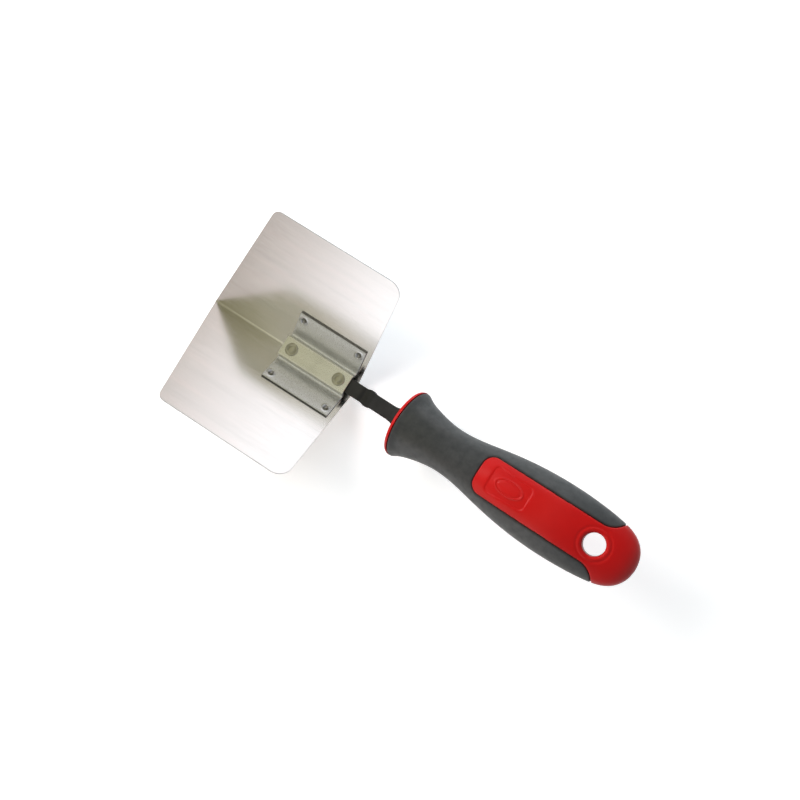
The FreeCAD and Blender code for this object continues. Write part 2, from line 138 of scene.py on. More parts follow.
# ------------------------------------------------------------------ mesh helpers
def add_mesh(name, verts_mm, faces, node, materials, sharp_angle=35.0):
    """A finished piece from points in mm: it rides on the root body and stands for a CAD node."""
    mesh = bpy.data.meshes.new(name)
    mesh.from_pydata((np.asarray(verts_mm) * MM).tolist(), [], faces)
    mesh.validate()
    mesh.update()
    for material in materials:
        mesh.materials.append(material)
    mesh.polygons.foreach_set("use_smooth", [True] * len(mesh.polygons))
    mesh.set_sharp_from_angle(angle=math.radians(sharp_angle))
    obj = bpy.data.objects.new(name, mesh)
    bpy.context.scene.collection.objects.link(obj)
    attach(obj, "root")
    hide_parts(node)
    return obj


def soften(obj, width_mm, segments=3, angle=40.0):
    """Rounds the sharp edges of a clean mesh."""
    bevel = obj.modifiers.new("edge", "BEVEL")
    bevel.width = width_mm * MM
    bevel.segments = segments
    bevel.limit_method = "ANGLE"
    bevel.angle_limit = math.radians(angle)
    bevel.harden_normals = True
    bevel.miter_outer = "MITER_ARC"
    return bevel


def slab_from_grids(top, bottom):
    """Closed mesh between two equal grids of points, shape (rows, cols, 3), top seen from above.

    The faces of the two grids come first; the third thing returned is how many they are.
    """
    rows, cols = top.shape[:2]
    verts = np.concatenate([top.reshape(-1, 3), bottom.reshape(-1, 3)])
    n = rows * cols
    last_i, last_j = rows - 1, cols - 1
    faces = []

    def at(i, j, low):
        return i * cols + j + (n if low else 0)

    for i in range(last_i):
        for j in range(last_j):
            faces.append((at(i, j, 0), at(i + 1, j, 0), at(i + 1, j + 1, 0), at(i, j + 1, 0)))
            faces.append((at(i, j, 1), at(i, j + 1, 1), at(i + 1, j + 1, 1), at(i + 1, j, 1)))
    flat_faces = len(faces)
    for i in range(last_i):
        faces.append((at(i, 0, 0), at(i, 0, 1), at(i + 1, 0, 1), at(i + 1, 0, 0)))
        faces.append((at(i, last_j, 0), at(i + 1, last_j, 0), at(i + 1, last_j, 1), at(i, last_j, 1)))
    for j in range(last_j):
        faces.append((at(0, j, 0), at(0, j + 1, 0), at(0, j + 1, 1), at(0, j, 1)))
        faces.append((at(last_i, j, 0), at(last_i, j, 1), at(last_i, j + 1, 1), at(last_i, j + 1, 0)))
    return verts, faces, flat_faces


# ------------------------------------------------------------------ materials
def new_material(name):
    material = bpy.data.materials.new(name)
    material.use_nodes = True
    tree = material.node_tree
    shader = tree.nodes["Principled BSDF"]
    return material, tree, shader


def object_coords(tree, scale=(1, 1, 1)):
    coords = tree.nodes.new("ShaderNodeTexCoord")
    mapping = tree.nodes.new("ShaderNodeMapping")
    mapping.inputs["Scale"].default_value = scale
    tree.links.new(coords.outputs["Object"], mapping.inputs["Vector"])
    return mapping.outputs["Vector"]


def noise(tree, vector, scale, detail=4.0, rough=0.55):
    node = tree.nodes.new("ShaderNodeTexNoise")
    node.inputs["Scale"].default_value = scale
    node.inputs["Detail"].default_value = detail
    node.inputs["Roughness"].default_value = rough
    tree.links.new(vector, node.inputs["Vector"])
    return node.outputs["Fac"]


def ramp(tree, fac, stops):
    """Maps 0..1 through colour stops [(position, (r, g, b))]."""
    node = tree.nodes.new("ShaderNodeValToRGB")
    elements = node.color_ramp.elements
    elements.remove(elements[1])
    elements[0].position = stops[0][0]
    elements[0].color = (*stops[0][1], 1.0)
    for position, colour in stops[1:]:
        elements.new(position).color = (*colour, 1.0)
    tree.links.new(fac, node.inputs["Fac"])
    return node.outputs["Color"]


def to_range(tree, fac, low, high, from_low=0.3, from_high=0.7):
    node = tree.nodes.new("ShaderNodeMapRange")
    node.inputs["From Min"].default_value = from_low
    node.inputs["From Max"].default_value = from_high
    node.inputs["To Min"].default_value = low
    node.inputs["To Max"].default_value = high
    tree.links.new(fac, node.inputs["Value"])
    return node.outputs["Result"]


def bump(tree, shader, height, strength, distance_mm):
    node = tree.nodes.new("ShaderNodeBump")
    node.inputs["Strength"].default_value = strength
    node.inputs["Distance"].default_value = distance_mm * MM
    tree.links.new(height, node.inputs["Height"])
    tree.links.new(node.outputs["Normal"], shader.inputs["Normal"])


def maths(tree, operation, first, second, third=None):
    """A Math node's result; each operand is a socket or a number."""
    node = tree.nodes.new("ShaderNodeMath")
    node.operation = operation
    for socket, value in zip(node.inputs, (first, second, third)):
        if isinstance(value, bpy.types.NodeSocket):
            tree.links.new(value, socket)
        elif value is not None:
            socket.default_value = value
    return node.outputs[0]


def vector_maths(tree, operation, vector, other=None):
    node = tree.nodes.new("ShaderNodeVectorMath")
    node.operation = operation
    tree.links.new(vector, node.inputs[0])
    if other is not None:
        node.inputs[1].default_value = other
    return node.outputs["Value" if operation == "DISTANCE" else "Vector"]


def tint_base(material, colour, amount, blend="MIX"):
    """Blends a colour into the base colour; colour and amount are sockets or constants."""
    tree = material.node_tree
    base = tree.nodes["Principled BSDF"].inputs["Base Color"]
    node = tree.nodes.new("ShaderNodeMix")
    node.data_type = "RGBA"
    node.blend_type = blend
    for socket, value in ((node.inputs["Factor"], amount), (node.inputs["B"], colour)):
        if isinstance(value, bpy.types.NodeSocket):
            tree.links.new(value, socket)
        else:
            socket.default_value = value
    tree.links.new(base.links[0].from_socket, node.inputs["A"])
    tree.links.new(node.outputs["Result"], base)


def brushed_metal(name, light, dark, rough_low, rough_high, grain=(90, 5200, 5200), anisotropy=0.5):
    """Metal with fine lines along X, cloudy tone and slightly uneven roughness."""
    cloud_scale, line_share, line_mm = 18.0, 0.65, 0.0010
    material, tree, shader = new_material(name)
    shader.inputs["Metallic"].default_value = 1.0
    shader.inputs["Anisotropic"].default_value = anisotropy
    lines = noise(tree, object_coords(tree, grain), 1.0, 3.0, 0.6)
    clouds = noise(tree, object_coords(tree), cloud_scale, 3.0, 0.5)
    cloud_part = maths(tree, "MULTIPLY", clouds, 1 - line_share)
    tone = maths(tree, "MULTIPLY_ADD", lines, line_share, cloud_part)
    tree.links.new(ramp(tree, tone, [(0.3, dark), (0.7, light)]), shader.inputs["Base Color"])
    tree.links.new(to_range(tree, lines, rough_low, rough_high), shader.inputs["Roughness"])
    bump(tree, shader, lines, 0.35, line_mm)
    return material


def moulded(name, base, deep, rough_low, rough_high, grain_scale, grain_mm, strength=0.3,
            cloud_scale=57.0, specular=0.5):
    """Moulded plastic, rubber or paint: fine grain, faint tone clouds and uneven gloss."""
    material, tree, shader = new_material(name)
    vector = object_coords(tree)
    clouds = noise(tree, vector, cloud_scale, 4.0, 0.6)
    grain = noise(tree, vector, grain_scale, 2.0, 0.5)
    tree.links.new(ramp(tree, clouds, [(0.3, deep), (0.7, base)]), shader.inputs["Base Color"])
    tree.links.new(to_range(tree, clouds, rough_high, rough_low), shader.inputs["Roughness"])
    shader.inputs["Specular IOR Level"].default_value = specular
    bump(tree, shader, grain, strength, grain_mm)
    return material


def tone_streaks(material, scale, low, high):
    """Multiplies the base colour by long soft streaks and smudges."""
    tree = material.node_tree
    streaks = noise(tree, object_coords(tree, scale), 1.0, 3.0, 0.6)
    tones = ramp(tree, streaks, [(0.28, low), (0.5, (0.97, 0.97, 0.97)), (0.68, high)])
    tint_base(material, tones, 1.0, "MULTIPLY")


def tint_top_as_reflection(material):
    """Painted reflection: the hat's top, which faces up, is tinted straw like the olive overhead it
    mirrors; the wings stay silver.
    """
    straw_reflection, top_ends, silver_from = (1.02, 1.0, 0.86, 1.0), 5.2 * MM, 7.0 * MM
    tree = material.node_tree
    split = tree.nodes.new("ShaderNodeSeparateXYZ")
    tree.links.new(vector_maths(tree, "ABSOLUTE", object_coords(tree)), split.inputs[0])
    on_top = to_range(tree, split.outputs["Y"], 1.0, 0.0, top_ends, silver_from)
    tint_base(material, straw_reflection, on_top, "MULTIPLY")


def shade_weld_dimples(material):
    """Paints shade into the four spot-weld dimples, which are folded onto one by symmetry."""
    dimple_shade, amount, full_within, none_past = (0.20, 0.19, 0.165, 1.0), 0.75, 1.0 * MM, 1.6 * MM
    middle_x, half_x = (WELD_X[0] + WELD_X[1]) / 2 * MM, (WELD_X[1] - WELD_X[0]) / 2 * MM
    tree = material.node_tree
    moved = vector_maths(tree, "SUBTRACT", object_coords(tree), (middle_x, 0.0, 0.0))
    folded = vector_maths(tree, "ABSOLUTE", moved)
    flat = vector_maths(tree, "MULTIPLY", folded, (1.0, 1.0, 0.0))
    away = vector_maths(tree, "DISTANCE", flat, (half_x, WELD_Y * MM, 0.0))
    tint_base(material, dimple_shade, to_range(tree, away, amount, 0.0, full_within, none_past))


def edge_wear(material, bare):
    """Bare metal shows in broken patches along exposed corners."""
    tree = material.node_tree
    corner = tree.nodes.new("ShaderNodeNewGeometry")
    exposed = to_range(tree, corner.outputs["Pointiness"], 0.0, 1.0, 0.52, 0.60)
    patches = to_range(tree, noise(tree, object_coords(tree), 420.0, 4.0, 0.7), 0.0, 0.85, 0.42, 0.62)
    tint_base(material, bare, maths(tree, "MULTIPLY", exposed, patches))


steel = brushed_metal("stainless", (0.80, 0.785, 0.775), (0.72, 0.705, 0.70), 0.16, 0.24)
tone_streaks(steel, (7, 150, 150), (0.925, 0.93, 0.93), (1.0, 0.985, 0.985))
steel_edge = brushed_metal("sheared_edge", (0.42, 0.42, 0.41), (0.30, 0.30, 0.29), 0.3, 0.45,
                           anisotropy=0.0)
plated = brushed_metal("plated_steel", (0.84, 0.85, 0.86), (0.73, 0.735, 0.745), 0.24, 0.36,
                       grain=(1500, 4200, 4200), anisotropy=0.2)
# Painted reflection: the hat's top is tinted straw like the olive overhead it mirrors.
tint_top_as_reflection(plated)
tone_streaks(plated, (60, 120, 120), (0.90, 0.90, 0.89), (1.0, 1.0, 0.99))
# Painted shade: the four spot-weld dimples are darkened.
shade_weld_dimples(plated)
# Dark metal for the bracket's long and rear cut faces: partly their own bare edge, partly painted shadow of
# the gap along them.
shadowed_cut_edge = brushed_metal("shadowed_cut_edge", (0.30, 0.30, 0.29), (0.16, 0.16, 0.155), 0.4, 0.55, anisotropy=0.0)
rivet_metal = brushed_metal("rivet_steel", (0.68, 0.66, 0.51), (0.54, 0.52, 0.39), 0.30, 0.46,
                            grain=(700, 700, 700), anisotropy=0.0)
red = moulded("red_plastic", (0.52, 0.005, 0.004), (0.43, 0.003, 0.003), 0.26, 0.36, 420, 0.02,
              strength=0.10, cloud_scale=24.0, specular=0.34)
grey = moulded("grey_rubber", (0.036, 0.037, 0.036), (0.019, 0.020, 0.021), 0.30, 0.48, 700, 0.06,
               strength=0.32, cloud_scale=330.0, specular=0.72)
black = moulded("black_steel", (0.020, 0.019, 0.017), (0.008, 0.008, 0.007), 0.26, 0.42, 900, 0.03)
edge_wear(black, (0.17, 0.165, 0.155, 1.0))


# ------------------------------------------------------------------ blade
def sheet_point(x, w, above):
    """A point of the bent sheet: w along the sheet from the crease (signed), above its middle layer."""
    side = np.sign(w) if np.ndim(w) else (1.0 if w >= 0 else -1.0)
    w = np.abs(w)
    radius = BEND_IN + SHEET / 2
    arc = radius * WING
    centre_z = BEND_IN + SHEET
    turn = np.minimum(w / radius, WING)
    run = np.maximum(w - arc, 0.0)
    level = radius - above
    y = level * np.sin(turn) + run * np.cos(WING)
    z = centre_z - level * np.cos(turn) + run * np.sin(WING)
    return np.stack([x + 0 * y, side * y, z], axis=-1)


def make_blade():
    # Sheet length from the crease to the outer edge, allowing for the rounded bend.
    middle = BEND_IN + SHEET / 2
    reach = WING_WIDTH - (BEND_IN + SHEET) * math.tan(WING) + middle * WING - 0.02
    # Distances across one wing: close together round the bend and round the outer corners.
    across = [0.0, 0.12, 0.25, 0.4, 0.55, 0.8, 1.2, 2.0]
    across += list(np.linspace(3.0, reach - REAR_RADIUS, 40))
    across += [reach - REAR_RADIUS * (1 - math.sin(t)) for t in np.linspace(0.06, PI / 2, 26)]
    across = np.array(across)
    along = np.linspace(0, 1, 120)
    rake = FRONT_SWEEP / WING_WIDTH
    lean = math.atan2(FRONT_SWEEP, WING_WIDTH)

    def front(w):
        """Front edge: straight and raked, then rounded into the outer edge."""
        r = FRONT_RADIUS
        centre_w = reach - r
        if w <= centre_w + r * math.sin(lean):
            return rake * w
        corner_x = rake * centre_w + r / math.cos(lean)
        return corner_x - math.sqrt(max(r * r - (w - centre_w) ** 2, 0.0))

    def rear(w):
        """Rear edge: square to the crease, then rounded into the outer edge."""
        r = REAR_RADIUS
        centre_w = reach - r
        if w <= centre_w:
            return CREASE
        return CREASE - r + math.sqrt(max(r * r - (w - centre_w) ** 2, 0.0))

    spread = np.concatenate([-across[:0:-1], across])
    top = np.zeros((len(spread), len(along), 3))
    bottom = np.zeros_like(top)
    for i, w in enumerate(spread):
        a, b = max(front(abs(w)), FRONT_TIP), rear(abs(w))
        x = BLADE_X + a + (b - a) * along
        top[i] = sheet_point(x, np.full_like(x, w), SHEET / 2)
        bottom[i] = sheet_point(x, np.full_like(x, w), -SHEET / 2)
    verts, faces, flat_faces = slab_from_grids(top, bottom)
    obj = add_mesh("blade_sheet", verts, faces, "blade", [steel, steel_edge])
    for index, polygon in enumerate(obj.data.polygons):
        polygon.material_index = 1 if index >= flat_faces else 0
    soften(obj, 0.2, 2).material = 1


# ------------------------------------------------------------------ bracket
def rounded_path(points, radii, step=0.25):
    """Polyline through points with circular corners, sampled densely."""
    out = [np.array(points[0], float)]
    for k in range(1, len(points) - 1):
        p, q, r = (np.array(points[k + d], float) for d in (-1, 0, 1))
        a = (p - q) / np.linalg.norm(p - q)
        b = (r - q) / np.linalg.norm(r - q)
        half = math.acos(np.clip(a @ b, -1, 1)) / 2
        cut = radii[k - 1] / math.tan(half)
        centre = q + (a + b) / np.linalg.norm(a + b) * radii[k - 1] / math.sin(half)
        start, end = q + a * cut, q + b * cut
        s, e = start - centre, end - centre
        sweep = math.acos(np.clip(s @ e / (radii[k - 1] ** 2), -1, 1))
        count = max(4, int(sweep / 0.18))
        for t in np.linspace(0, 1, count + 1):
            out.append(centre + (math.sin((1 - t) * sweep) * s + math.sin(t * sweep) * e) / math.sin(sweep))
    out.append(np.array(points[-1], float))
    filled = [out[0]]
    for p in out[1:]:
        gap = np.linalg.norm(p - filled[-1])
        if gap < 1e-6:
            continue
        pieces = max(1, int(gap / step))
        base = filled[-1]
        for t in np.linspace(0, 1, pieces + 1)[1:]:
            filled.append(base + (p - base) * t)
    return np.array(filled)


def make_bracket():
    """The hat pressing: its middle layer is a bent path across Y, dimpled at the four welds."""
    half_t = BRACKET_T / 2
    under = APEX + SHEET / math.cos(WING)
    mid = under + half_t / math.cos(WING)
    top_z = HAT_TOP - half_t
    wall = HAT_HALF - half_t / math.cos(HAT_LEAN)
    root = (wall + (top_z - mid) * math.tan(HAT_LEAN)) / (1 + math.tan(WING) * math.tan(HAT_LEAN))
    edge_y = BRACKET_HALF + half_t * math.sin(WING)
    half = [
        (edge_y, mid + edge_y * math.tan(WING)), (root, mid + root * math.tan(WING)),
        (wall + half_t * math.tan(HAT_LEAN), top_z),
    ]
    points = half + [(-y, z) for y, z in reversed(half)]
    path = rounded_path(points, [1.55, 0.95, 0.95, 1.55])
    tangent = np.gradient(path, axis=0)
    tangent /= np.linalg.norm(tangent, axis=1)[:, None]
    normal = np.stack([tangent[:, 1], -tangent[:, 0]], axis=1)
    if normal[len(path) // 2, 1] < 0:
        normal = -normal
    dimple_depth, dimple_r, rim_height, rim_r, rim_width = 0.42, 1.55, 0.10, 1.95, 0.35
    x = BRACKET_X0 + np.linspace(0, BRACKET_LEN, 150)
    top = np.zeros((len(path), len(x), 3))
    bottom = np.zeros_like(top)
    for i, (p, n) in enumerate(zip(path, normal)):
        sink = np.zeros_like(x)
        on_wing = abs(p[0]) > root + 2.5
        if on_wing:
            for wx in WELD_X:
                offset = (abs(p[0]) - WELD_Y) / math.cos(WING)
                r = np.hypot(x - wx, offset)
                sink += -dimple_depth * np.clip(1 - (r / dimple_r) ** 2, 0, 1) ** 0.6
                sink += rim_height * np.exp(-((r - rim_r) / rim_width) ** 2)
        up = half_t + sink
        top[i, :, 0] = x
        top[i, :, 1] = p[0] + n[0] * up
        top[i, :, 2] = p[1] + n[1] * up
        bottom[i, :, 0] = x
        bottom[i, :, 1] = p[0] - n[0] * half_t
        bottom[i, :, 2] = p[1] - n[1] * half_t
    verts, faces, flat_faces = slab_from_grids(top[::-1], bottom[::-1])
    obj = add_mesh("bracket_pressing", verts, faces, "bracket", [plated, shadowed_cut_edge])
    for index, polygon in enumerate(obj.data.polygons):
        if index < flat_faces:
            continue
        centre = polygon.center / MM
        long_side = abs(centre.y) > BRACKET_HALF - 0.3
        at_rear = centre.x > BRACKET_X0 + BRACKET_LEN - 0.01
        # The long sides and rear end take the dark metal, with painted gap shadow; the front edge stays
        # plated.
        if long_side or at_rear:
            polygon.material_index = 1
    soften(obj, 0.28, 3)


# ------------------------------------------------------------------ tang
def make_tang():
    """A flat bar swept along its bent middle line, with soft corners and the squeezed-out bend."""
    half_width, squeezed_out, shoulder = 4.0, 0.62, 0.9
    raised, bend_radius, corner, steps = 77.5, 3.5, 0.45, 5
    front = BRACKET_X0 + 1.0
    mid_z = TANG_TOP - TANG_T / 2
    bend_mid_x = TANG_X + TANG_T / 2 * math.tan(RISE / 2)
    end = (bend_mid_x + raised * math.cos(RISE), mid_z + raised * math.sin(RISE))
    path = rounded_path([(front, mid_z), (bend_mid_x, mid_z), end], [bend_radius], 0.6)
    tangent = np.gradient(path, axis=0)
    tangent /= np.linalg.norm(tangent, axis=1)[:, None]
    distance = np.concatenate([[0], np.cumsum(np.linalg.norm(np.diff(path, axis=0), axis=1))])
    bend_at = bend_mid_x - front
    grip_at = bend_at + GRIP_START
    verts = []
    for (x, z), (tx, tz), s in zip(path, tangent, distance):
        off = s - bend_at
        # Wider at the bend and at the shoulder in the grip's mouth, thinner either side of the bend.
        swell = 0.5 + 0.5 * math.tanh((s - grip_at + 7) / 1.6)
        fade = 0.5 - 0.5 * math.tanh((s - grip_at - 9) / 1.6)
        width = half_width + squeezed_out * math.exp(-((off - 0.3) / 2.1) ** 4)
        width += shoulder * swell * fade
        thick = TANG_T / 2 - 0.35 * math.exp(-((off + 2.6) / 1.3) ** 2)
        thick -= 0.15 * math.exp(-((off - 3.0) / 1.6) ** 2)
        for qx, qy, start in ((1, 1, 0), (-1, 1, 90), (-1, -1, 180), (1, -1, 270)):
            for k in range(steps):
                t = math.radians(start + 90 * k / (steps - 1))
                y = qx * (width - corner) + corner * math.cos(t)
                h = qy * (thick - corner) + corner * math.sin(t)
                verts.append((x - tz * h, y, z + tx * h))
    count = 4 * steps
    faces = []
    for i in range(len(path) - 1):
        for j in range(count):
            a, b = i * count + j, i * count + (j + 1) % count
            faces.append((a, a + count, b + count, b))
    faces.append(tuple(range(count)))
    last = (len(path) - 1) * count
    faces.append(tuple(last + j for j in reversed(range(count))))
    add_mesh("tang_bar", verts, faces, "tang", [black])


# ------------------------------------------------------------------ rivets
def make_rivet(name, node, x):
    """Lathed rivet: flat head with a set ring pressed in it, shank, and tail under the tang."""
    low = -(BRACKET_T + TANG_T)
    seg = 72
    # Radius and height above the hat's top, from the head's middle outwards and down to the tail.
    profile = np.array([
        (0.0, 0.62), (0.8, 0.62), (1.35, 0.60), (1.62, 0.54), (1.82, 0.50), (2.02, 0.55), (2.25, 0.63),
        (2.75, 0.65), (3.05, 0.59), (3.27, 0.50), (3.38, 0.32), (3.40, 0.14), (3.38, 0.0), (2.0, 0.0),
        (2.0, low), (2.85, low), (2.9, low - 0.35), (2.8, low - 0.8), (2.45, low - 1.15), (1.6, low - 1.28),
        (0.0, low - 1.3),
    ])
    verts = [(x, 0.0, HAT_TOP + profile[0, 1])]
    for r, z in profile[1:-1]:
        for k in range(seg):
            t = 2 * PI * k / seg
            verts.append((x + r * math.cos(t), r * math.sin(t), HAT_TOP + z))
    verts.append((x, 0.0, HAT_TOP + profile[-1, 1]))
    faces = [(0, 1 + k, 1 + (k + 1) % seg) for k in range(seg)]
    for i in range(len(profile) - 3):
        a, b = 1 + i * seg, 1 + (i + 1) * seg
        for k in range(seg):
            n = (k + 1) % seg
            faces.append((a + k, b + k, b + n, a + n))
    a, end = 1 + (len(profile) - 3) * seg, len(verts) - 1
    faces += [(a + k, end, a + (k + 1) % seg) for k in range(seg)]
    add_mesh(name, verts, faces, node, [rivet_metal], 50)


# ------------------------------------------------------------------ grip
def spline(knots, values):
    """Natural cubic spline; returns a function of an array."""
    n = len(knots)
    h = np.diff(knots)
    a = np.zeros((n, n))
    rhs = np.zeros(n)
    a[0, 0] = a[-1, -1] = 1.0
    for i in range(1, n - 1):
        a[i, i - 1], a[i, i], a[i, i + 1] = h[i - 1], 2 * (h[i - 1] + h[i]), h[i]
        rhs[i] = 3 * ((values[i + 1] - values[i]) / h[i] - (values[i] - values[i - 1]) / h[i - 1])
    c = np.linalg.solve(a, rhs)
    b = np.diff(values) / h - h * (2 * c[:-1] + c[1:]) / 3
    d = np.diff(c) / (3 * h)

    def evaluate(t):
        k = np.clip(np.searchsorted(knots, t, side="right") - 1, 0, n - 2)
        u = t - knots[k]
        return values[k] + u * (b[k] + u * (c[k] + u * d[k]))
    return evaluate


def centre_line(distance):
    start_x = TANG_X + GRIP_START * math.cos(RISE)
    start_z = TANG_TOP - TANG_T / 2 + GRIP_START * math.sin(RISE)
    here = RISE - distance / ARC
    x = start_x + ARC * (math.sin(RISE) - np.sin(here))
    z = start_z + ARC * (np.cos(here) - math.cos(RISE))
    return x, z, here


knots = np.concatenate([[0], np.cumsum(np.linalg.norm(np.diff(STATIONS, axis=0), axis=1))])
along_of, wide_of, deep_of = (spline(knots, STATIONS[:, k]) for k in range(3))


def hull_point(t, angle):
    """A point of the grip's outer form: t runs front to tail, angle round it with 90 degrees on top."""
    x, z, slope = centre_line(along_of(t))
    across = wide_of(t) * np.cos(angle)
    up = deep_of(t) * np.sin(angle)
    return np.stack([x - up * np.sin(slope), across, z + up * np.cos(slope)], axis=-1)


def hull_normal(t, angle):
    e = 1e-3
    ahead = hull_point(np.minimum(t + e, knots[-1]), angle) - hull_point(np.maximum(t - e, 0), angle)
    round_ = hull_point(t, angle + e) - hull_point(t, angle - e)
    n = np.cross(round_, ahead)
    return n / (np.linalg.norm(n, axis=-1, keepdims=True) + 1e-12)


mid_x, mid_z, mid_slope = centre_line(MID_AT)


def plan(points):
    """Distance along the grip and across it, as the window cutter sees them."""
    ahead = (points[..., 0] - mid_x) * math.cos(mid_slope) + (points[..., 2] - mid_z) * math.sin(mid_slope)
    return ahead + MID_AT, points[..., 1]


def rounded_box(qx, qy, radius):
    """Signed distance to a box with rounded corners, from the distances past its corner centres."""
    return np.hypot(np.maximum(qx, 0), np.maximum(qy, 0)) + np.minimum(np.maximum(qx, qy), 0) - radius


def window_distance(points):
    """Signed distance to the edge of the red panels and tail: negative inside them."""
    ahead, across = plan(points)
    stem = rounded_box(WINDOW_START + WINDOW_CORNER - ahead,
                       np.abs(across) - (WINDOW_HALF - WINDOW_CORNER), WINDOW_CORNER)
    tail = WINDOW_END - ahead
    inner = np.hypot(np.maximum(LOBE - stem, 0), np.maximum(LOBE - tail, 0))
    return np.maximum(LOBE, np.minimum(stem, tail)) - inner


def smoothstep(x):
    x = np.clip(x, 0, 1)
    return x * x * (3 - 2 * x)


def badge_height(points):
    """A plain cartouche on the top panel, with no lettering: raised lines on a sunk field."""
    ahead, across = plan(points)
    u, v = ahead - BADGE_AT[0], across - BADGE_AT[1]
    box = rounded_box(np.abs(u) - (BADGE_HALF[0] - BADGE_CORNER),
                      np.abs(v) - (BADGE_HALF[1] - BADGE_CORNER) + BADGE_SKEW * u, BADGE_CORNER)
    oval = (np.hypot(u / OVAL_HALF[0], v / OVAL_HALF[1]) - 1) * OVAL_HALF[1]
    line = smoothstep(1 - np.abs(box) / LINE_WIDTH)
    ring = smoothstep(1 - np.abs(oval) / LINE_WIDTH)
    plate = smoothstep(1 - (oval + 0.9) / 0.35)
    field = smoothstep((-box - 0.1) / 0.6)
    return BADGE_RISE * (np.maximum(line, ring) * 0.95 + 0.55 * plate - 1.0) * np.maximum(field, line)


def grip_grid(rows=GRIP_ROWS, cols=GRIP_COLS):
    """Grid of (t, angle), evenly spaced along the surface, with vertices moved onto the window's edge."""
    fine = np.linspace(0, knots[-1], 4000)
    side = np.stack([along_of(fine), wide_of(fine)], axis=1)
    length = np.concatenate([[0], np.cumsum(np.linalg.norm(np.diff(side, axis=0), axis=1))])
    t = np.interp(np.linspace(0, length[-1], rows), length, fine)
    rim_t = np.interp(RIM, along_of(fine), fine)
    t[np.argmin(abs(t - rim_t))] = rim_t
    angle = np.linspace(0, 2 * PI, cols, endpoint=False)
    tt, aa = np.meshgrid(t, angle, indexing="ij")
    d = window_distance(hull_point(tt, aa))
    unmoved = 9.0
    best = np.full(d.shape, unmoved)
    new_t, new_a = tt.copy(), aa.copy()
    step_a = 2 * PI / cols
    for axis in (0, 1):
        for sign in (1, -1):
            other_d = np.roll(d, -sign, axis)
            other_t = np.roll(tt, -sign, axis)
            crossing = (d * other_d) < 0
            if axis == 0:
                if sign > 0:
                    crossing[-1] = False
                else:
                    crossing[0] = False
            share = np.abs(d) / (np.abs(d) + np.abs(other_d) + 1e-12)
            take = crossing & (share <= 0.5) & (share < best)
            best = np.where(take, share, best)
            if axis == 0:
                new_t = np.where(take, tt + (other_t - tt) * share, new_t)
                new_a = np.where(take, aa, new_a)
            else:
                new_a = np.where(take, aa + sign * step_a * share, new_a)
                new_t = np.where(take, tt, new_t)
    d = window_distance(hull_point(new_t, new_a))
    d = np.where(best < unmoved, 0.0, d)
    rim_row = int(np.argmin(abs(t - rim_t)))
    return new_t, new_a, d, rim_row


def quads_of(rows=GRIP_ROWS, cols=GRIP_COLS):
    i, j = np.meshgrid(np.arange(rows - 1), np.arange(cols), indexing="ij")
    k = (j + 1) % cols
    return np.stack([i * cols + j, (i + 1) * cols + j, (i + 1) * cols + k, i * cols + k], -1).reshape(-1, 4)


def split_mixed(quads, d):
    """Quads that the edge line crosses corner to corner become two triangles along it."""
    values = d[quads]
    mixed = (values.max(1) > 0) & (values.min(1) < 0)
    out = [tuple(q) for q in quads[~mixed]]
    for q, v in zip(quads[mixed], values[mixed]):
        if v[0] == 0 and v[2] == 0:
            out += [(q[0], q[1], q[2]), (q[0], q[2], q[3])]
        else:
            out += [(q[0], q[1], q[3]), (q[1], q[2], q[3])]
    return out


def rolled_edge(depth_inside, roll, drop):
    """How far the surface falls away near an edge: a quarter round, roll wide and drop deep."""
    inside = np.clip((depth_inside + roll) / roll, 0, 1)
    return drop * (1 - np.sqrt(1 - np.minimum(inside, 0.999) ** 2))


